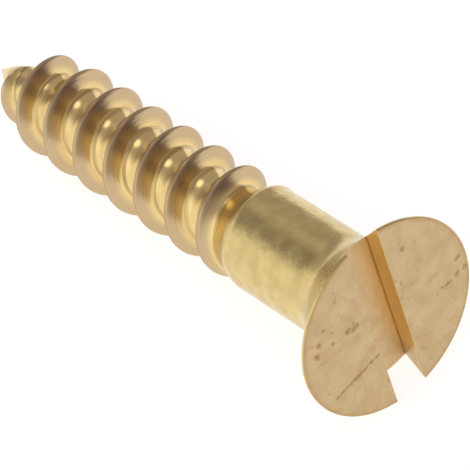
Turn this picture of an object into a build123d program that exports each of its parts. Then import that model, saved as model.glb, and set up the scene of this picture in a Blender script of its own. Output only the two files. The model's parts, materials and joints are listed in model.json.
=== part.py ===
from build123d import *
import math
import os

# A slotted countersunk wood screw in solid brass, turned and cut from one piece of metal.
# The screw lies along X: the flat face of its head is at X = 0 and looks towards +X, the point
# is at X = -overall_length, and the slot runs along Z. Lengths are in millimetres, angles in
# degrees. In the functions below, "along" is the distance from the head's face to the point.

# ---- overall: a No. 12 screw, nominally one and a quarter inches long ----
overall_length = 32.10
shank_diameter = 5.59
head_diameter = 10.85

# ---- countersunk head ----
rim_land = 0.16             # narrow straight band round the edge of the face
countersink_angle = 90.0    # full angle of the cone under the head
neck_fillet = 1.1           # radius where the cone runs into the shank
slot_width = 1.95
slot_depth = 1.20

# ---- thread, right-handed, one start ----
thread_pitch = 2.60
crest_diameter = 5.70
root_diameter = 3.40
crest_land = 0.16           # width of the thin flat along the crest
flank_slope = 26.0          # slope of each flank from square across the axis
flank_share = 0.88          # share of the groove's depth that is straight flank
root_curve = 0.24           # length along the axis that each flank takes to curve into the root
thread_start = 8.80         # the groove begins here, where the plain shank ends
runout_length = 3.60        # the groove reaches its full depth over this length
crest_turn = -0.1157        # share of a turn by which the crest is ahead of the head's face

# ---- gimlet point ----
crest_taper = 6.60          # the crest shrinks over this length
crest_fullness = 2.40       # 1 makes a straight cone, more makes a rounder shoulder
crest_end = 2.35            # the crest stops this far from the point
crest_end_length = 0.55     # and sinks into the core over this length
core_taper = 5.90           # the core shrinks over this length
core_slope = 0.17           # by this much for each millimetre
point_angle = 60.0          # full angle of the cone that the core ends in
core_shoulder = 0.30        # rounding where the core runs into that cone
point_radius = 0.10         # the point is blunt by this much

# ---- how the curved faces are drawn ----
points_per_turn = 16        # places along each turn where a helical edge is fixed
crest_drop = 0.03           # the crest starts this far under the shank's surface
tuck_in = 0.25              # length of thread that is buried inside the shank

shank_radius = shank_diameter / 2
head_radius = head_diameter / 2
crest_radius = crest_diameter / 2
root_radius = root_diameter / 2
cone_slope = math.tan(math.radians(countersink_angle / 2))
cone_length = (head_radius - shank_radius) / cone_slope
head_height = rim_land + cone_length


def groove_section():
    """The groove across one pitch: (place along the pitch in mm, share of the full depth)."""
    flank_run = flank_share * (crest_radius - root_radius) * math.tan(math.radians(flank_slope))
    first_root = crest_land + flank_run + root_curve
    last_root = thread_pitch - flank_run - root_curve
    return [
        (0.0, 0.0),
        (crest_land, 0.0),
        (crest_land + flank_run, flank_share),
        (first_root, 1.0),
        (last_root, 1.0),
        (thread_pitch - flank_run, flank_share),
    ]


def smooth(x):
    """Rises from 0 to 1 with a level start and a level end."""
    x = min(max(x, 0.0), 1.0)
    return x * x * (3 - 2 * x)


def core_at(along):
    """Radius of the core: level, then a slow taper, then a cone to the blunt point."""
    left = max(overall_length - along, 0.0)
    cone = point_radius + left * math.tan(math.radians(point_angle / 2))
    slow = root_radius - core_slope * max(core_taper - left, 0.0)
    overlap = max(core_shoulder - abs(cone - slow), 0.0) / core_shoulder
    return min(cone, slow) - overlap**2 * core_shoulder / 4


def full_crest_at(along):
    """Radius of the crest towards the point: it shrinks, then stops and sinks into the core."""
    left = min(max((overall_length - along) / crest_taper, 0.0), 1.0)
    shrunk = crest_radius * (1 - (1 - left) ** crest_fullness)
    sunk = smooth((along - overall_length + crest_end) / crest_end_length)
    core = core_at(along)
    return core + max(shrunk - core, 0.0) * (1 - sunk)


def crest_at(along):
    """Radius of the thread's crest, which starts just under the shank's surface."""
    risen = smooth((along - thread_start) / (runout_length / 2))
    hidden = shank_radius - crest_drop
    return hidden + (full_crest_at(along) - hidden) * risen


def depth_at(along):
    """Depth of the groove, which fades in over the run-out behind the shank."""
    return (crest_at(along) - core_at(along)) * smooth((along - thread_start - tuck_in) / runout_length)


first_along = thread_start - tuck_in - 1.5 * thread_pitch
turn_count = math.ceil((overall_length + thread_pitch / 2 - first_along) / thread_pitch)


def rail_point(turn, place, share):
    """Point on one edge of the groove: turn counts turns, place and share are its section."""
    along = first_along + turn * thread_pitch + place
    angle = 2 * math.pi * (crest_turn - (along - place) / thread_pitch)
    radius = crest_at(along) - share * depth_at(along)
    return Vector(-along, radius * math.cos(angle), radius * math.sin(angle))


def rail(turn, place, share):
    """One turn of an edge of the groove, as a smooth curve from one turn to the next."""
    steps = range(points_per_turn + 1)
    points = [rail_point(turn + step / points_per_turn, place, share) for step in steps]
    nudge = 0.001
    slopes = []
    for end in (turn, turn + 1):
        ahead = rail_point(end + nudge, place, share)
        behind = rail_point(end - nudge, place, share)
        slopes.append((ahead - behind) / (2 * nudge * points_per_turn))
    return Edge.make_spline(points, tangents=slopes)


def end_faces(turn):
    """Close the threaded rod: a flat half-section, and a ramp that winds from it to the axis."""
    outline = [rail_point(turn, place, share) for place, share in groove_section()]
    outline.append(rail_point(turn + 1, 0.0, 0.0))
    near_axis = Vector(outline[0].X, 0, 0)
    far_axis = Vector(outline[-1].X, 0, 0)
    flat = Face(Wire.make_polygon([near_axis] + outline + [far_axis], close=True))
    ramp = Face.make_surface_from_curves(Edge.make_line(near_axis, far_axis), rail(turn, 0.0, 0.0))
    return [flat, ramp]


def turn_faces(turn):
    """The strips of one turn: crest land, flank, curve into the root, root, and back up."""
    rails = [rail(turn, place, share) for place, share in groove_section()]
    rails.append(rail(turn + 1, 0.0, 0.0))
    return [Face.make_surface_from_curves(near, far) for near, far in zip(rails, rails[1:])]


def threaded_rod():
    """The thread from inside the shank to the point, as one solid trimmed square at both ends."""
    faces = end_faces(0) + end_faces(turn_count)
    for turn in range(turn_count):
        faces.extend(turn_faces(turn))
    rod = Solid(Shell(faces))
    kept_from = thread_start - tuck_in
    kept_length = overall_length - kept_from
    kept = Pos(-kept_from - kept_length / 2, 0, 0) * Box(kept_length, head_diameter, head_diameter)
    return rod & kept


def head_and_shank():
    """The turned blank: flat face, rim land, cone, fillet and plain shank."""
    with BuildPart() as blank:
        with BuildSketch(Plane.XY):
            with BuildLine():
                Polyline(
                    (0, 0),
                    (0, head_radius),
                    (-rim_land, head_radius),
                    (-head_height, shank_radius),
                    (-thread_start, shank_radius),
                    (-thread_start, 0),
                    close=True,
                )
            make_face()
        revolve(axis=Axis.X)
        rings = blank.edges().filter_by(GeomType.CIRCLE).sort_by(Axis.X)
        neck = rings[1]
        fillet(neck, neck_fillet)
    return blank.part


def slot():
    """The straight saw-cut across the head's face, as a bar that is centred on the face."""
    return Box(2 * slot_depth, slot_width, 2 * head_diameter)


wood_screw = (threaded_rod() + head_and_shank()) - slot()
wood_screw = wood_screw.solids()[0]
wood_screw.label = "wood_screw"

os.makedirs("parts", exist_ok=True)
export_step(wood_screw, "parts/wood_screw.step")

print("volume mm3", round(wood_screw.volume, 2), "valid", wood_screw.is_valid)
print("head height mm", round(head_height, 3), "turns", turn_count)
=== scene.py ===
# %% [markdown]
# A brass wood screw, rebuilt for a close look. The measured CAD screw is loaded as a fixed frame. It is
# right in every size, but its thread is made of strips that meet in sharp edges. Here the same screw is
# made again as one fine skin, with the soft edges, cutter lines and wear that real brass shows.

# %% Load the measured screw
import json
import math
import bmesh
import bpy
import numpy as np
from mathutils import Matrix, Vector


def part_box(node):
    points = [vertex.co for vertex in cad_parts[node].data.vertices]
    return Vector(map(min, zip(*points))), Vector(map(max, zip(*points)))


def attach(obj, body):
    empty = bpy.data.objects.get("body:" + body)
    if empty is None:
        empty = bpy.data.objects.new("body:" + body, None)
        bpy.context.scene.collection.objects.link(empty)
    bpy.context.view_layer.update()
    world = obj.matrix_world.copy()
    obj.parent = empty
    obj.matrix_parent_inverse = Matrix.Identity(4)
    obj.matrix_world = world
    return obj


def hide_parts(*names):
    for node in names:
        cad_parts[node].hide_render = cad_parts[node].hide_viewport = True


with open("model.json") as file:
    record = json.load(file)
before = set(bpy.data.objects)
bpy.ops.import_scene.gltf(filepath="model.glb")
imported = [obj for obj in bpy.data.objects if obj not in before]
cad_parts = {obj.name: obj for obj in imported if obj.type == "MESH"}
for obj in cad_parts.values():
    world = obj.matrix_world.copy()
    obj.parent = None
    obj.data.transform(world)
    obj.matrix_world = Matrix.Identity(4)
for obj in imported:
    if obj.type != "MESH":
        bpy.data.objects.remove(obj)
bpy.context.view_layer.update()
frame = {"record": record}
mm = 0.001

# %% [markdown]
# The screw lies along X with its flat face at X = 0 and its point towards -X, so "along" below is the
# distance from the face to the point. The head's radius and the length come from the CAD box, and the
# shank and the crest of the thread from the interfaces that the record states. The rest are workshop
# sizes of this gauge of screw: the slot, the groove of the thread, and how the crest and the core shrink
# into the gimlet point.

# %% Sizes of the screw
mounts = {mount["name"]: mount for mount in frame["record"]["mounts"]}
screw_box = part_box("wood_screw")
screw_length = -screw_box[0][0]
head_radius = screw_box[1][1]
shank_radius = mounts["shank"]["dims"]["r_mm"] * mm
crest_radius = mounts["thread"]["dims"]["r_mm"] * mm
thread_start = screw_length - mounts["thread"]["dims"]["length_mm"] * mm
root_radius = 1.70 * mm
thread_pitch = 2.60 * mm
crest_turn = -0.1157            # share of a turn by which the crest is ahead of the face
rim_land = 0.16 * mm            # straight band round the edge of the face
slot_width = 1.95 * mm
slot_depth = 1.20 * mm
neck_fillet = 1.10 * mm
head_height = rim_land + head_radius - shank_radius

half_crest = 0.085 * mm         # half the width of the crest's land
flank_slope = math.radians(24)  # lean of each flank from square across the axis
root_hollow = 0.15              # how much the root is hollowed, as a share of the depth
run_in_length = 1.8 * mm        # the crest leaves the shank's radius over this length
run_out_length = 3.6 * mm       # and the groove reaches its full depth over this one

point_radius = 0.08 * mm
point_half_angle = math.radians(30)
core_taper = 5.9 * mm           # the core shrinks over this length
core_slope = 0.17               # by this much for each unit of length
core_shoulder = 0.30 * mm       # rounding where the core runs into the point's cone
crest_taper = 6.6 * mm          # the crest shrinks over this length
crest_fullness = 2.4            # 1 makes a straight cone, more makes a rounder shoulder
crest_end = 2.30 * mm           # the crest stops this far from the point
crest_end_length = 0.35 * mm    # and sinks into the core over this length
print("head radius", round(head_radius / mm, 3), "length", round(screw_length / mm, 3), "mm")

# %% [markdown]
# The thread is one groove wound round the blank. Seen along the axis its section repeats every pitch: a
# narrow crest, a straight flank that leans about 24 degrees, and a root that is slightly hollowed by the
# nose of the cutter. It could be built from a small outline swept by a Screw modifier, but the point and
# the run-out change the outline from turn to turn. So the skin is a formula instead: a radius for every
# distance along the screw and every angle round it.

# %% Radius of the skin
def soft_min(first, second, width):
    """The smaller of two values, less overlap squared times width / 4 near the corner between them.

    overlap is 1 where the two are equal and falls to 0 where they are the width apart."""
    overlap = np.maximum(width - np.abs(first - second), 0) / width
    return np.minimum(first, second) - overlap**2 * width / 4


def soft_max(first, second, width):
    """The larger of two values, rounded in the same way: minus the soft_min of their negatives."""
    return -soft_min(-first, -second, width)


def smooth(value):
    """Rises from 0 to 1 with a level start and a level end: value squared times (3 - 2 value)."""
    value = np.clip(value, 0, 1)
    return value * value * (3 - 2 * value)


def core_radius(along):
    """Radius of the core: level, then a slow taper, then the cone of the blunt point.

    With left the distance to the point, the taper is root_radius - core_slope (core_taper - left) and
    the cone is point_radius + left tan(half its angle). The core is the smaller one."""
    left = np.maximum(screw_length - along, 0)
    cone = point_radius + left * math.tan(point_half_angle)
    slow = root_radius - core_slope * np.maximum(core_taper - left, 0)
    return soft_min(cone, slow, core_shoulder)


def full_crest(along):
    """Radius of the crest: it shrinks towards the point, then stops and sinks into the core.

    With left the share of the taper still to go, it is crest_radius (1 - (1 - left) ^ fullness)."""
    left = np.clip((screw_length - along) / crest_taper, 0, 1)
    shrunk = crest_radius * (1 - (1 - left) ** crest_fullness)
    sunk = smooth((along - screw_length + crest_end) / crest_end_length)
    core = core_radius(along)
    return core + np.maximum(shrunk - core, 0) * (1 - sunk)


def groove_share(place, back_stretch):
    """How deep the groove is at a place across the pitch, from 0 on the crest to 1 at the root.

    place runs from -0.5 to 0.5 of a pitch, with the crest at 0 and the head on the negative side. The
    flank climbs in a straight line from the edge of the crest. The root is a parabola, whose depth is 1
    half-way between two crests and falls by root_hollow towards the flanks. The share is the smaller
    one of the two. The flank that looks to the head can be stretched, as it is near the shank, where
    the tool was drawn out."""
    flank_run = (crest_radius - root_radius) * math.tan(flank_slope)
    run = flank_run * np.where(place < 0, back_stretch, 1.0)
    climb = (np.abs(place) * thread_pitch - half_crest) / run
    half_root = thread_pitch / 2 - half_crest - flank_run
    from_middle = (0.5 - np.abs(place)) * thread_pitch / half_root
    hollow = 1 - root_hollow * from_middle**2
    root_rounding, crest_rounding = 0.10, 0.14
    return soft_max(soft_min(climb, hollow, root_rounding), 0.0, crest_rounding)


def thread_radius(along, place):
    """Radius of the threaded part, crest - share (crest - core), and the share itself.

    The crest starts at the shank's radius, and both it and the groove's depth ease in behind it."""
    run_in = smooth((along - thread_start) / run_in_length)
    crest = shank_radius + (full_crest(along) - shank_radius) * run_in
    run_out = smooth((along - thread_start) / run_out_length)
    share = groove_share(place, 2.0 - run_out)
    return crest - share * (crest - core_radius(along)) * run_out, share


section = groove_share(np.array([0.0, 0.1, 0.25, 0.5]), 1.0)
print("share of the depth at 0, 0.1, 0.25 and 0.5 of a pitch", section.round(2).tolist())

# %% [markdown]
# A skin is a grid of points: columns run round the screw and rows run along it. In the thread the rows
# lean with the helix, so that the crest is a row of its own and stays crisp with few faces. Rows that
# would lie beyond the ends of the thread are pressed flat onto the end rings, where the merge at the
# end removes them.

# %% The thread, as a leaning grid
columns = 168
round_turn = np.linspace(0, 2 * np.pi, columns, endpoint=False)
rows_per_pitch = 40


def row_places():
    """Places across one pitch: even steps, less crowding sin(2 pi even) / (2 pi).

    That draws the rows together at the crest, which is narrow, and apart at the root."""
    crowding = 0.72
    even = np.linspace(-0.5, 0.5, rows_per_pitch, endpoint=False)
    return even - crowding * np.sin(2 * np.pi * even) / (2 * np.pi)


def thread_grid():
    """Points of the thread, (-along, radius cos angle, radius sin angle), and their height share.

    The rows lean by angle / (2 pi) of a pitch, as the helix does. The height share is 1 on the crest
    and 0 at the root."""
    places = row_places()
    first = math.floor(thread_start / thread_pitch) - 2
    last = math.ceil(screw_length / thread_pitch) + 2
    rows = (np.arange(first, last)[:, None] + places[None, :]).ravel()[:, None]
    lean = crest_turn - round_turn[None, :] / (2 * np.pi)
    along = np.clip((rows + lean) * thread_pitch, thread_start, screw_length)
    true_place = (along / thread_pitch - lean + 0.5) % 1.0 - 0.5
    radius, share = thread_radius(along, true_place)
    points = np.stack(
        [-along, radius * np.cos(round_turn)[None, :], radius * np.sin(round_turn)[None, :]], axis=-1
    )
    return points, 1 - share


thread_points, thread_share = thread_grid()
print("thread grid", thread_points.shape)

# %% [markdown]
# The head is turned first and then slotted with a saw, so its skin is made of patches: the face on each
# side of the slot, two slot walls, the slot floor, and the turned side. Neighbouring patches share the
# points along their common edge, so the merge at the end joins them into one closed skin. A Boolean
# would cut the slot in one step, but it leaves long thin faces that shade badly.

# %% Columns round the head
edge_steps = np.array([0.0, 0.012, 0.028, 0.05, 0.09]) * mm  # steps in from an edge that is rounded
notch_columns = 5  # columns over half the slot's width
quarter_columns = columns // 4


def side_radius(along):
    """Radius of the turned blank: head_radius along the rim land, then less by the distance past it.

    The cone of 45 degrees ends at the shank's radius, with the corner rounded by the neck's fillet."""
    cone = head_radius - np.maximum(along - rim_land, 0)
    return soft_max(cone, shank_radius, neck_fillet)


def quarter_angles(along):
    """Angles from the middle of the slot to the middle of the land, for one distance along.

    The corner of the slot is at arcsin(half the slot / radius). A few columns crowd next to it, so that
    the edge can be rounded, and the others are even. Below the slot they ease to even spacing."""
    radius = side_radius(along)
    corner = math.asin(slot_width / 2 / radius)
    notch = np.linspace(0, corner, notch_columns, endpoint=False)
    crowded = corner + edge_steps / radius
    spread = np.linspace(crowded[-1], np.pi / 2, quarter_columns - notch_columns - len(crowded) + 2)
    angles = np.concatenate([notch, crowded, spread[1:]])
    even = np.linspace(0, np.pi / 2, quarter_columns + 1)
    ease = smooth((along - slot_depth) / (head_height - slot_depth))
    return angles * (1 - ease) + even * ease


def ring_angles(along):
    """All the columns of one ring, counted from +Y round to +Y again, with the slot along Z.

    A quarter is mirrored about the slot's middle at 90 degrees, and that half is repeated."""
    quarter = quarter_angles(along)
    up = np.pi / 2 - quarter[::-1]
    down = np.pi / 2 + quarter[1:]
    half = np.concatenate([up, down])[:-1]
    return np.concatenate([half, half + np.pi])


def ring(along):
    """One ring of the turned side: (-along, radius cos angle, radius sin angle)."""
    angles = ring_angles(along)
    radius = side_radius(along)
    flat = np.full(columns, -along)
    return np.stack([flat, radius * np.cos(angles), radius * np.sin(angles)], axis=-1)


print("a ring has", len(ring(slot_depth)), "points,", 2 * notch_columns, "steps of them across the slot")

# %% [markdown]
# A sawn or turned edge is never a perfect corner, and the small round on it is what catches the light.
# A Bevel modifier could cut it, but it makes poor faces where three edges meet. So every point near an
# edge is moved by a rule that works for one, two or three faces at once: measure how deep the point
# lies under each face, step inwards to the centre of a ball, and go back out by the ball's radius.

# %% Rounded edges
edge_radius = 0.045 * mm
fade_length = 0.2 * mm   # the round fades out over this length above the slot floor
fade_across = 0.15 * mm  # and over this one beside the slot's walls
lean_of_cone = math.sqrt(0.5)
no_length = 1e-9         # keeps a division by a length from failing at zero


def pulled(depths, radius):
    """New depths under each face for a point on the rounded edge, from its depths on the sharp one.

    The ball's centre is where every depth is at least the radius. The new point is the centre, less
    the radius times the unit vector from the old point to the centre."""
    centre = np.maximum(depths, radius)
    away = centre - depths
    length = np.maximum(np.linalg.norm(away, axis=-1, keepdims=True), no_length * mm)
    return centre - radius * away / length


def soften_lands(points):
    """Rounds the edges between the face, the slot walls and the turned side.

    The three depths are along, across less half the slot, and the gap to the turned side measured
    square to it. The change in each depth is a step along that face's inward direction."""
    along = -points[..., 0]
    across = np.abs(points[..., 1])
    radial = np.hypot(points[..., 1], points[..., 2])
    on_cone = along > rim_land + no_length
    lean = np.where(on_cone, lean_of_cone, 0.0)
    upright = np.sqrt(1 - lean**2)
    under_side = np.maximum(head_radius - np.maximum(along - rim_land, 0) - radial, 0) * upright
    depths = np.stack([along, across - slot_width / 2, under_side], axis=-1)
    depths = np.maximum(depths, 0)
    radius = edge_radius * smooth((slot_depth - along) / fade_length)[..., None] + no_length
    moved = pulled(depths, radius) - depths
    inward_wall = np.sign(points[..., 1])
    out_y = points[..., 1] / radial
    out_z = points[..., 2] / radial
    step = np.zeros_like(points)
    step[..., 0] = -moved[..., 0] + moved[..., 2] * lean
    step[..., 1] = moved[..., 1] * inward_wall - moved[..., 2] * upright * out_y
    step[..., 2] = -moved[..., 2] * upright * out_z
    return points + step


def soften_floor_ends(points):
    """Rounds the two short edges where the slot floor runs out through the cone, in the same way."""
    across = np.abs(points[..., 1])
    radial = np.maximum(np.hypot(points[..., 1], points[..., 2]), no_length)
    side = head_radius - (-points[..., 0] - rim_land)
    under_side = np.maximum(side - radial, 0) * lean_of_cone
    depths = np.stack([np.maximum(-points[..., 0] - slot_depth, 0), under_side], axis=-1)
    radius = edge_radius * smooth((slot_width / 2 - across) / fade_across)[..., None] + no_length
    moved = pulled(depths, radius) - depths
    step = np.zeros_like(points)
    step[..., 0] = -moved[..., 0] + moved[..., 1] * lean_of_cone
    step[..., 1] = -moved[..., 1] * lean_of_cone * points[..., 1] / radial
    step[..., 2] = -moved[..., 1] * lean_of_cone * points[..., 2] / radial
    return points + step


print("edges are rounded by", round(edge_radius / mm, 3), "mm")

# %% [markdown]
# Now the patches themselves. The rows of the turned side stand close together under the face and at the
# slot floor, where the edges are rounded, a tenth of a millimetre apart down the cone and the neck, and
# wider apart on the straight shank. The land, the wall and the face are made for one side of the slot,
# and the other side is the same patches turned over.

# %% Patches of the head
top_steps = np.concatenate([edge_steps, [0.125 * mm], np.linspace(rim_land, slot_depth, 12)])
cone_steps = np.linspace(slot_depth + 0.2 * mm, head_height + 0.4 * mm, 18)
shank_steps = np.linspace(head_height + 0.7 * mm, thread_start, 20)
lower_steps = np.concatenate([slot_depth + edge_steps, cone_steps, shank_steps])
land_first = quarter_columns + notch_columns
land_last = columns - quarter_columns - notch_columns
land_columns = np.arange(land_first, land_last + 1)


def turn_over(points):
    """The same patch on the other side of the slot, by half a turn about the screw's axis."""
    return points * np.array([1, -1, -1])


def land_side():
    """The turned side above the slot floor, on one side of the slot."""
    return soften_lands(np.stack([ring(along)[land_columns] for along in top_steps]))


def slot_edge_heights(along):
    """Z of the points along a slot wall at one depth, crowded at both ends like the rim's columns.

    The wall ends at the square root of (side radius squared less half the slot's width squared)."""
    end = math.sqrt(side_radius(along) ** 2 - (slot_width / 2) ** 2)
    count = len(land_columns) - 2 * len(edge_steps) + 2
    inner = np.linspace(end - edge_steps[-1], -end + edge_steps[-1], count)
    return np.concatenate([end - edge_steps, inner[1:-1], -end + edge_steps[::-1]])


def wall():
    """One wall of the slot, from the face down to the slot floor."""
    rows = []
    for along in top_steps:
        heights = slot_edge_heights(along)
        flat = np.full_like(heights, -along)
        rows.append(np.stack([flat, np.full_like(heights, -slot_width / 2), heights], axis=-1))
    return soften_lands(np.stack(rows))


def face():
    """One half of the flat face: straight lines from the slot's edge out to the rim.

    The points along a line are crowded at both ends, and a line shorter than short_line, near the
    ends of the slot, has its crowded steps shrunk to fit."""
    rim = ring(0.0)[land_columns]
    heights = slot_edge_heights(0.0)
    inner = np.stack([np.zeros_like(heights), np.full_like(heights, -slot_width / 2), heights], axis=-1)
    length = np.linalg.norm(rim - inner, axis=-1)
    short_line = 0.4 * mm
    shrink = np.minimum(1, length / short_line)
    near = edge_steps[:, None] * shrink[None, :]
    far = length[None, :] - near[::-1]
    middle_rows = 20
    share = np.linspace(0, 1, middle_rows + 2)[1:-1, None]
    middle = near[-1][None, :] * (1 - share) + far[0][None, :] * share
    travelled = np.concatenate([near, middle, far]) / np.maximum(length, no_length * mm)
    points = inner[None] + travelled[..., None] * (rim - inner)[None]
    return soften_lands(points)


def slot_floor():
    """The slot floor: Z is the wall's height, scaled by reach / end so that its ends follow the cone."""
    end_radius = side_radius(slot_depth)
    heights = slot_edge_heights(slot_depth)
    end = math.sqrt(end_radius**2 - (slot_width / 2) ** 2)
    half_notch = quarter_angles(slot_depth)[: notch_columns + 1]
    angles = np.concatenate([-half_notch[:0:-1], half_notch])
    across = end_radius * np.sin(angles)
    reach = end_radius * np.cos(angles)
    points = np.stack(
        [
            np.full((len(heights), len(across)), -slot_depth),
            np.broadcast_to(across[None, :], (len(heights), len(across))),
            heights[:, None] / end * reach[None, :],
        ],
        axis=-1,
    )
    return soften_floor_ends(points)


def lower_side():
    """The turned side from the slot floor to the start of the thread."""
    points = np.stack([ring(along) for along in lower_steps])
    below_floor = 0.3 * mm
    in_notch = (np.abs(points[..., 1]) < slot_width / 2) & (-points[..., 0] < slot_depth + below_floor)
    return np.where(in_notch[..., None], soften_floor_ends(points), points)


one_side = [land_side(), wall(), face()]
head_patches = one_side + [turn_over(patch) for patch in one_side] + [slot_floor()]
print("head patches", [patch.shape[:2] for patch in head_patches])

# %% [markdown]
# Each grid becomes faces in the same way: four neighbouring points make one face. The closed rings
# join their last column to their first. In the thread the leaning rows come round one pitch further
# on, so there the last column joins the first column of the row one pitch back. Two things are kept
# with the points: the height share of the thread, which the finish reads, and a smooth look that
# breaks only where the skin turns by more than a sharp corner's angle, inside the slot.

# %% Join the patches into one skin
merge_distance = 1e-7  # points nearer than this, in metres, are the same point
flat_distance = 1e-8   # faces thinner than this are dropped
sharp_corner = math.radians(60)


def patch_faces(rows, across, start):
    """Faces of an open grid whose points are numbered row by row from start."""
    number = start + np.arange(rows * across).reshape(rows, across)
    corners = [number[:-1, :-1], number[:-1, 1:], number[1:, 1:], number[1:, :-1]]
    return np.stack([corner.ravel() for corner in corners], axis=-1)


def tube_faces(rows, start, rows_back=0):
    """Faces of a closed tube; rows_back is how many rows earlier the seam meets."""
    number = start + np.arange(rows * columns).reshape(rows, columns)
    seam_rows = np.maximum(np.arange(rows) - rows_back, 0)
    number = np.concatenate([number, number[seam_rows, :1]], axis=1)
    corners = [number[:-1, :-1], number[:-1, 1:], number[1:, 1:], number[1:, :-1]]
    return np.stack([corner.ravel() for corner in corners], axis=-1)


def joined_skin():
    """All points, all faces and the share of the thread's height at every point."""
    points, faces, shares, start = [], [], [], 0
    for patch in head_patches:
        faces.append(patch_faces(*patch.shape[:2], start))
        points.append(patch.reshape(-1, 3))
        shares.append(np.ones(len(points[-1])))
        start += len(points[-1])
    side = lower_side()
    faces.append(tube_faces(len(side), start))
    points.append(side.reshape(-1, 3))
    shares.append(np.ones(len(points[-1])))
    start += len(points[-1])
    faces.append(tube_faces(len(thread_points), start, rows_per_pitch))
    points.append(thread_points.reshape(-1, 3))
    shares.append(thread_share.ravel())
    start += len(points[-1])
    tip_ring = start - columns + np.arange(columns)
    tip = np.full(columns, start)
    faces.append(np.stack([tip_ring, np.roll(tip_ring, -1), tip, tip], axis=-1))
    points.append(np.array([[-screw_length, 0, 0]]))
    shares.append(np.zeros(1))
    return np.concatenate(points), np.concatenate(faces), np.concatenate(shares)


def cleaned(mesh):
    """Merges the shared points, drops the pressed-flat faces and turns every face outwards."""
    work = bmesh.new()
    work.from_mesh(mesh)
    bmesh.ops.remove_doubles(work, verts=work.verts, dist=merge_distance)
    bmesh.ops.dissolve_degenerate(work, dist=flat_distance, edges=work.edges)
    bmesh.ops.recalc_face_normals(work, faces=work.faces)
    open_edges = sum(1 for edge in work.edges if len(edge.link_faces) != 2)
    volume = work.calc_volume()
    work.to_mesh(mesh)
    work.free()
    return open_edges, volume


def make_screw():
    """The finished skin as a Blender object at the origin."""
    points, faces, shares = joined_skin()
    mesh = bpy.data.meshes.new("brass_screw")
    triangles = faces[:, 2] == faces[:, 3]
    polygons = [list(face[:3]) for face in faces[triangles]] + faces[~triangles].tolist()
    mesh.from_pydata(points.tolist(), [], polygons)
    crest_share = mesh.attributes.new("crest_share", "FLOAT", "POINT")
    crest_share.data.foreach_set("value", shares.astype(np.float32))
    open_edges, volume = cleaned(mesh)
    mesh.polygons.foreach_set("use_smooth", np.ones(len(mesh.polygons), dtype=bool))
    mesh.set_sharp_from_angle(angle=sharp_corner)
    screw = bpy.data.objects.new("brass_screw", mesh)
    bpy.context.scene.collection.objects.link(screw)
    print("skin", len(mesh.vertices), "points", len(mesh.polygons), "faces, open edges", open_edges)
    print("volume", round(volume / mm**3, 2), "mm3")
    return screw


brass_screw = make_screw()
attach(brass_screw, "root")
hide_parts("wood_screw")

# %% [markdown]
# The screw lies on its side on a pale table. The rim of the head and a crest of the thread touch it, so
# the table is a plane through the lowest point of the rim, tilted up until it touches the thread. That
# tilt is the smallest rise over run from the rim to any point beyond the head.

# %% The table top
def table_top():
    """A wide plane that the rim of the head and the thread rest on."""
    count = len(brass_screw.data.vertices)
    points = np.empty(count * 3)
    brass_screw.data.vertices.foreach_get("co", points)
    points = points.reshape(-1, 3)
    lowest = points[np.argmin(points[:, 2])]
    beyond = points[points[:, 0] < -head_height * 2]
    rise = np.min((beyond[:, 2] - lowest[2]) / (lowest[0] - beyond[:, 0]))
    half = 1.5
    square = ((-half, -half), (half, -half), (half, half), (-half, half))
    corners = [(x, y, lowest[2] + (lowest[0] - x) * rise) for x, y in square]
    mesh = bpy.data.meshes.new("table_top")
    mesh.from_pydata(corners, [], [(0, 1, 2, 3)])
    table = bpy.data.objects.new("table_top", mesh)
    bpy.context.scene.collection.objects.link(table)
    print("table slope", round(math.degrees(math.atan(rise)), 2), "degrees")
    return table


table = table_top()

# %% [markdown]
# A catalogue view of a screw shows the slot, the shank and the whole thread at once, so the camera
# stands in front of the head and well above it, and is rolled to lay the screw across the picture.
# Its place is worked out from the axis of the screw: a direction, a distance in head radii, and an aim
# beside the face. It stands far off with a long lens, so the far end of the screw hardly shrinks.

# %% Camera
camera_azimuth = 63.27
camera_elevation = 42.56
camera_roll = -20.37
camera_distance = 33.3 * head_radius
aim_right = -1.3865 * head_radius
aim_up = 0.7532 * head_radius
sensor_width = 36
focal_length = 281.083  # for that sensor, both in millimetres


def make_camera():
    """A long lens that looks at the shank from the head's side.

    back is the unit vector from the screw to the camera. right and up are turned about it by the roll,
    and the camera stands at the aim plus the distance along back."""
    azimuth, elevation, roll = map(math.radians, (camera_azimuth, camera_elevation, camera_roll))
    level_share = math.cos(elevation)
    back = Vector(
        (math.sin(azimuth) * level_share, -math.cos(azimuth) * level_share, math.sin(elevation))
    )
    level = Vector((math.cos(azimuth), math.sin(azimuth), 0))
    upright = back.cross(level)
    right = level * math.cos(roll) + upright * math.sin(roll)
    up = back.cross(right)
    aim = aim_right * right + aim_up * up
    data = bpy.data.cameras.new("camera")
    data.sensor_width = sensor_width
    data.lens = focal_length
    data.clip_start = 0.01
    data.clip_end = 10
    camera = bpy.data.objects.new("camera", data)
    turn = Matrix((right, up, back)).transposed().to_4x4()
    camera.matrix_world = Matrix.Translation(aim + back * camera_distance) @ turn
    bpy.context.scene.collection.objects.link(camera)
    bpy.context.scene.camera = camera
    print("camera", round(camera_distance / mm), "mm away, lens", round(data.lens), "mm")


make_camera()

# %% [markdown]
# Materials and the studio's light are both node trees. Written as nodes and links they are hard to read,
# so one small class wraps a socket and turns sums of sockets into Math nodes. Every other node comes
# from its node method, and colours are mixed by a Mix node, because a Math node would turn them grey.

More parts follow.
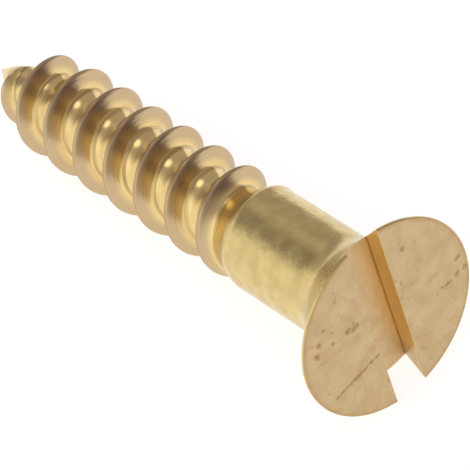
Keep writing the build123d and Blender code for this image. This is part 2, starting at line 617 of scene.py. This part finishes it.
# %% Sums of sockets
class Shade:
    """A value in a node tree that can be added, subtracted, multiplied and divided."""

    def __init__(self, tree, socket=None):
        self.tree = tree
        self.socket = socket

    def node(self, kind, settings=None, inputs=None, output=0):
        """Adds a node: its settings first, then the values or links of its sockets."""
        made = self.tree.nodes.new(kind)
        for name, value in (settings or {}).items():
            setattr(made, name, value)
        for name, value in (inputs or {}).items():
            if isinstance(value, Shade):
                self.tree.links.new(value.socket, made.inputs[name])
            else:
                made.inputs[name].default_value = value
        return Shade(self.tree, made.outputs[output])

    def math(self, operation, *values):
        """One Math node on this value and others."""
        inputs = dict(enumerate((self, *values)))
        return self.node("ShaderNodeMath", {"operation": operation}, inputs)

    def __add__(self, other):
        return self.math("ADD", other)

    __radd__ = __add__

    def __mul__(self, other):
        return self.math("MULTIPLY", other)

    __rmul__ = __mul__

    def __sub__(self, other):
        return self.math("SUBTRACT", other)

    def __rsub__(self, other):
        return (self * -1.0).math("ADD", other)

    def __truediv__(self, other):
        return self.math("DIVIDE", other)

    def clamp(self):
        """Kept between 0 and 1."""
        return self.node("ShaderNodeClamp", {}, {0: self})

    def ramp(self, low, high):
        """Rises smoothly from 0 to 1 as this value goes from low to high, or falls if low is more."""
        settings = {"interpolation_type": "SMOOTHSTEP"}
        inputs = {0: self, 1: low, 2: high, 3: 0.0, 4: 1.0}
        return self.node("ShaderNodeMapRange", settings, inputs)


def mix_colours(factor, first, second):
    """A colour between two colours."""
    return factor.node("ShaderNodeMix", {"data_type": "RGBA"}, {0: factor, 6: first, 7: second}, 2)


# %% [markdown]
# Metal has no colour of its own in the dark: it shows what stands round it. The screw is lit as in a
# product tent. Two wide soft lights fill the front, the sides stay dim, one small lamp hangs behind and
# makes the round highlights in the root of the thread, and the table is lit from below so that it goes
# white. Area lamps would do as well, but a soft disc painted on the sky has no hard edge to show in the
# metal.

# %% Studio light
def direction(azimuth, elevation):
    """Unit vector to a lamp; azimuth 0 is the -Y side and 90 the +X side, as for the views."""
    azimuth, elevation = math.radians(azimuth), math.radians(elevation)
    return (
        math.sin(azimuth) * math.cos(elevation),
        -math.cos(azimuth) * math.cos(elevation),
        math.sin(elevation),
    )


def soft_disc(sky, middle, inner, outer):
    """1 within the inner angle of a direction, falling to 0 at the outer angle.

    The cosine of the angle to the middle is the dot product of the two unit vectors."""
    settings = {"operation": "DOT_PRODUCT"}
    nearness = sky.node("ShaderNodeVectorMath", settings, {0: sky, 1: direction(*middle)}, "Value")
    return nearness.ramp(math.cos(math.radians(outer)), math.cos(math.radians(inner)))


def studio_light():
    """The world's light: a dim tent, plus the soft discs of the lamps, less two dark gaps.

    The tent is slightly warm, the lamps are a little greener, and the gap on the head's side is pink."""
    world = bpy.data.worlds.new("studio_tent")
    world.use_nodes = True
    tree = world.node_tree
    sky = Shade(tree).node("ShaderNodeTexCoord")
    height = sky.node("ShaderNodeSeparateXYZ", {}, {0: sky}, "Z")
    front = soft_disc(sky, (-40, -5), 28, 54).math("MAXIMUM", soft_disc(sky, (20, 14), 30, 66))
    front_middle = soft_disc(sky, (5, 32), 8, 34)
    roof = height.ramp(0.75, 0.95)
    from_below = height.ramp(-0.05, -0.35)
    lamp = soft_disc(sky, (-158, 74), 4, 17)
    side_lamp = soft_disc(sky, (-112, 46), 4, 18)
    gap = soft_disc(sky, (120, -2), 8, 32)
    side_gap = soft_disc(sky, (-78, 50), 4, 26)
    light = 0.46 + front * 0.60 + front_middle * 0.16 + roof * 0.04 + from_below * 0.40
    light = light + lamp + side_lamp * 0.10 - gap * 0.28 - side_gap * 0.12
    background = tree.nodes["Background"]
    tree.links.new(light.socket, background.inputs["Strength"])
    colour = mix_colours(front.math("MAXIMUM", lamp), (1.0, 0.94, 0.92, 1), (0.98, 1.0, 0.96, 1))
    colour = mix_colours(gap, colour, (1.0, 0.78, 0.82, 1))
    tree.links.new(colour.socket, background.inputs["Color"])
    bpy.context.scene.world = world
    print("studio light has", len(tree.nodes), "nodes")


studio_light()
bpy.context.scene.view_settings.view_transform = "Standard"

# %% [markdown]
# The table is plain pale paper. It has no sheen, so the screw does not mirror in it, and it glows a
# little, as paper on a light box does: that keeps it white and leaves only a faint shadow.

# %% Table finish
def table_finish():
    """Pale rough paper, lit from below so that it shows white."""
    material = bpy.data.materials.new("pale_table")
    material.use_nodes = True
    shader = material.node_tree.nodes["Principled BSDF"]
    shader.inputs["Base Color"].default_value = (0.55, 0.55, 0.56, 1)
    shader.inputs["Roughness"].default_value = 0.9
    shader.inputs["Specular IOR Level"].default_value = 0.0
    shader.inputs["Emission Color"].default_value = (1, 1, 1, 1)
    shader.inputs["Emission Strength"].default_value = 0.72
    print("the table's finish is", material.name)
    return material


table.data.materials.append(table_finish())

# %% [markdown]
# The brass is one material, because it is one piece of metal, but each region was made by another tool.
# It could be cut into several materials, but their borders would be hard lines. The masks below say
# instead how much a point is on the face, in the slot or in the thread. All lengths are turned into
# millimetres first, so the numbers in the finish can be read as real sizes.

# %% Places on the screw
class Places:
    """Where a shaded point is, as sockets in millimetres, and the masks of the regions.

    share is 1 on the crest and 0 at the root. across_pitch is the place across one pitch from 0 to 1:
    the fraction of along / pitch + angle / (2 pi) - crest_turn."""

    def __init__(self, tree):
        start = Shade(tree)
        point = start.node("ShaderNodeTexCoord", output="Object")
        scaled = {"operation": "SCALE"}
        self.point = point.node("ShaderNodeVectorMath", scaled, {0: point, "Scale": 1 / mm})
        self.along = self.axis("X") * -1.0
        self.across = self.axis("Y")
        self.height = self.axis("Z")
        self.radial = (self.across * self.across + self.height * self.height).math("SQRT")
        self.share = start.node("ShaderNodeAttribute", {"attribute_name": "crest_share"}, output="Fac")
        angle = self.height.math("ARCTAN2", self.across)
        turns = self.along / (thread_pitch / mm) + angle / (2 * math.pi) - crest_turn
        self.across_pitch = turns.math("FRACT")
        self.off_centre = self.across.math("ABSOLUTE")

    def axis(self, name):
        """One coordinate of the point."""
        return self.point.node("ShaderNodeSeparateXYZ", {}, {0: self.point}, name)

    def on_face(self):
        """1 on the flat face of the head."""
        return self.along.ramp(0.07, 0.02)

    def in_slot(self):
        """1 on the walls and the floor of the slot."""
        half = slot_width / 2 / mm
        return self.off_centre.ramp(half + 0.03, half + 0.004) * self.along.ramp(1.35, 1.22)

    def on_thread(self):
        """1 on the thread, rising over the run-out."""
        start = thread_start / mm
        return self.along.ramp(start + 0.8, start + 2.6)

    def noise(self, scale, detail=3.0, stretch=None):
        """Cloudy noise between 0 and 1; scale is in patches per millimetre."""
        place = self.point if stretch is None else stretch
        return place.node("ShaderNodeTexNoise", {}, {"Vector": place, "Scale": scale, "Detail": detail})

    def near_line(self, start, end, width):
        """1 close to a straight line on the face between two points (across, height).

        The nearest point of the line is its start plus the run times the share travelled, which is the
        dot product with the run over its length squared. Noise makes the line's edge ragged."""
        run = (end[0] - start[0], end[1] - start[1])
        length_squared = run[0] ** 2 + run[1] ** 2
        from_start = (self.across - start[0], self.height - start[1])
        travelled = ((from_start[0] * run[0] + from_start[1] * run[1]) / length_squared).clamp()
        miss = (from_start[0] - travelled * run[0], from_start[1] - travelled * run[1])
        distance = (miss[0] * miss[0] + miss[1] * miss[1]).math("SQRT")
        return (distance + self.noise(4.5) * 0.40 - 0.20).ramp(width, width * 0.2)


# %% [markdown]
# The thread was cut by a pointed tool that passed many times, and each pass left fine lines along the
# helix. Noise that is squeezed across the pitch and stretched along it gives such lines. The root stays
# bright and yellow, handling has browned the flanks and the crests, and a thin dark line runs
# where the flank meets the root. A wave texture would give lines too, but ones that are too even.

# %% Finish of the thread
def cutter_lines(places, lines_per_pitch, waver):
    """Lines along the helix, between 0 and 1: noise read at a place that is stretched along it.

    lines_per_pitch is how fine they are across the pitch, and waver how fast they change round it."""
    inputs = {
        "X": places.across_pitch * lines_per_pitch,
        "Y": places.across * waver,
        "Z": places.height * waver + places.along * 0.4,
    }
    stretched = places.point.node("ShaderNodeCombineXYZ", {}, inputs)
    return places.noise(1.0, 4.0, stretched)


stained_lines = 34.0
relief_lines = 60.0
root_yellow = (0.81, 0.61, 0.27, 1)
flank_tan = (0.575, 0.43, 0.255, 1)
line_orange = (0.68, 0.45, 0.20, 1)
stain_brown = (0.55, 0.395, 0.22, 1)
foot_dark_line = (0.36, 0.21, 0.08, 1)
crest_brown = (0.42, 0.27, 0.14, 1)


def thread_colour(places):
    """Yellow root, tan flanks with orange lines and brown stains, dark foot line, brown crest.

    Each ramp of share picks a band of the groove, from 0 at the root to 1 on the crest."""
    lines = cutter_lines(places, stained_lines, 0.35)
    patches = places.noise(0.7)
    outer = places.share.ramp(0.26, 0.66)
    colour = mix_colours(outer, root_yellow, flank_tan)
    stripes = lines.ramp(0.48, 0.62) * places.share.ramp(0.95, 0.45)
    colour = mix_colours(stripes * 0.5, colour, line_orange)
    stains = patches.ramp(0.40, 0.65) * places.share.ramp(0.40, 0.80)
    colour = mix_colours(stains * 0.5, colour, stain_brown)
    # A thin dark line along the foot of the flank, where it meets the root.
    foot = places.share.ramp(0.09, 0.14) * places.share.ramp(0.25, 0.18)
    foot = foot * (0.35 + lines.ramp(0.35, 0.6) * 0.4)
    colour = mix_colours(foot, colour, foot_dark_line)
    crest = places.share.ramp(0.96, 1.0)
    return mix_colours(crest * 0.6, colour, crest_brown)


print("lines per pitch", stained_lines, "in the colour and", relief_lines, "in the relief")

# %% [markdown]
# The shank is turned and then tumbled with the other screws, so it has a satin skin with soft dents. The
# flat face took most of the knocks: it is rougher, browner, peppered with small pits, and it has a long
# broken scratch and some stains, which are placed one by one as short lines with ragged edges.

# %% Finish of the shank and the head
face_tan = (0.64, 0.475, 0.265, 1)
face_brown = (0.57, 0.41, 0.22, 1)
grain_brown = (0.42, 0.30, 0.17, 1)
mark_brown = (0.29, 0.16, 0.065, 1)
rim_brown = (0.50, 0.31, 0.13, 1)


def face_colour(places):
    """Tan face with pits, stains and a scratch, and a browner line inside the rim."""
    cloud = places.noise(0.9, 5.0)
    colour = mix_colours(cloud.ramp(0.3, 0.7), face_tan, face_brown)
    grain = places.noise(9.0, 2.0)
    colour = mix_colours(grain.ramp(0.50, 0.75) * 0.35, colour, grain_brown)
    pits = places.noise(3.4, 2.0).ramp(0.62, 0.72) * places.noise(0.55, 1.0).ramp(0.40, 0.58)
    marks = pits * 0.8
    for start, end, width in face_marks:
        marks = marks.math("MAXIMUM", places.near_line(start, end, width))
    colour = mix_colours(marks * 0.62, colour, mark_brown)
    rim = places.radial.ramp(5.16, 5.34) * 0.55
    return mix_colours(rim, colour, rim_brown)


# Each mark is a start and an end (across, height) and a width, in millimetres.
face_marks = [
    ((-1.10, -1.64), (-2.40, -1.88), 0.10),
    ((-2.40, -1.88), (-3.10, -1.99), 0.16),
    ((-3.10, -1.99), (-4.20, -2.16), 0.09),
    ((-1.85, 1.04), (-2.00, 0.98), 0.30),
    ((-2.28, 1.16), (-2.42, 1.10), 0.22),
    ((-4.10, 1.62), (-4.16, 1.70), 0.20),
    ((-4.40, 1.04), (-4.44, 1.12), 0.24),
    ((3.45, -0.88), (4.10, -0.92), 0.10),
    ((4.50, -0.80), (4.64, -0.76), 0.20),
    ((5.02, -0.76), (5.16, -0.70), 0.14),
    ((4.74, 0.06), (4.90, 0.16), 0.16),
    ((2.00, 3.16), (2.06, 3.22), 0.18),
    ((-3.20, 1.76), (-3.24, 1.82), 0.13),
    ((-3.60, 2.28), (-3.66, 2.34), 0.12),
    ((-3.34, 1.07), (-3.40, 1.13), 0.13),
]


shank_yellow = (0.72, 0.56, 0.245, 1)
shank_dull = (0.61, 0.465, 0.205, 1)


def shank_colour(places):
    """Greenish yellow satin, with darker patches."""
    patches = places.noise(1.1, 4.0)
    return mix_colours(patches.ramp(0.35, 0.7), shank_yellow, shank_dull)


# The slot's orange is painted reflection: the walls light each other and the floor, so the walls are
# deep orange, paler tan at their open end, and the floor turns orange towards them.
reflected_wall_orange = (0.86, 0.62, 0.25, 1)
reflected_wall_end_tan = (0.62, 0.47, 0.26, 1)
floor_tan = (0.64, 0.465, 0.255, 1)
reflected_floor_orange = (0.68, 0.475, 0.235, 1)
corner_dirt = (0.38, 0.20, 0.10, 1)


def slot_colour(places):
    """Painted reflection of brass in brass: orange walls that turn tan at their open end, and a tan
    floor that turns orange towards the walls. A dark line in the corners.

    The distance to a corner is the square root of to_wall plus to_floor, which are both squared."""
    half = slot_width / 2 / mm
    depth = slot_depth / mm
    to_wall = (places.off_centre - half) * (places.off_centre - half)
    to_floor = (places.along - depth) * (places.along - depth)
    corner = (to_wall + to_floor).math("SQRT").ramp(0.11, 0.02)
    floor = places.along.ramp(depth - 0.08, depth - 0.02)
    # Painted reflection of the walls on the floor, stronger towards them.
    near_wall = places.off_centre.ramp(half - 1.1, half - 0.1)
    floor_colour = mix_colours(near_wall, floor_tan, reflected_floor_orange)
    # Painted reflection on the walls, fading to tan at their open end.
    open_end = places.height.ramp(-2.6, -3.8)
    wall_colour = mix_colours(open_end, reflected_wall_orange, reflected_wall_end_tan)
    colour = mix_colours(floor, wall_colour, floor_colour)
    return mix_colours(corner * 0.55, colour, corner_dirt)


print(len(face_marks), "marks on the face")

# %% [markdown]
# Last, the regions are laid over each other: the thread over the shank, then the face, then the slot.
# Roughness follows the same masks, from the bright thread to the dull face. The relief is fine: soft
# dents on the shank, cutter lines on the flanks, and a grain that is only a micrometre or so high.

# %% Brass
def brass_finish():
    """The whole screw: the regions' colours, roughness and fine relief, laid over each other."""
    material = bpy.data.materials.new("brass")
    material.use_nodes = True
    tree = material.node_tree
    shader = tree.nodes["Principled BSDF"]
    shader.inputs["Metallic"].default_value = 1.0
    places = Places(tree)
    on_face, in_slot, on_thread = places.on_face(), places.in_slot(), places.on_thread()

    colour = mix_colours(on_thread, shank_colour(places), thread_colour(places))
    colour = mix_colours(on_face, colour, face_colour(places))
    colour = mix_colours(in_slot, colour, slot_colour(places))
    tree.links.new(colour.socket, shader.inputs["Base Color"])

    patches = places.noise(1.6, 4.0)
    lines = cutter_lines(places, relief_lines, 0.5) * places.share.ramp(0.10, 0.45)
    roughness = 0.20 + patches.ramp(0.35, 0.7) * 0.12
    roughness = roughness * (1.0 - on_thread) + on_thread * (0.15 + lines * 0.12)
    roughness = roughness + on_face * 0.22 + in_slot * 0.20
    tree.links.new(roughness.socket, shader.inputs["Roughness"])

    dents = places.noise(1.9, 2.0) * (1.0 - on_thread) * (1.0 - on_face)
    relief = dents * 0.022 + places.noise(9.0) * 0.0012 + lines * on_thread * 0.008
    bump = relief.node("ShaderNodeBump", {}, {"Distance": mm, "Height": relief})
    tree.links.new(bump.socket, shader.inputs["Normal"])
    print("brass has", len(tree.nodes), "nodes")
    return material


brass_screw.data.materials.append(brass_finish())
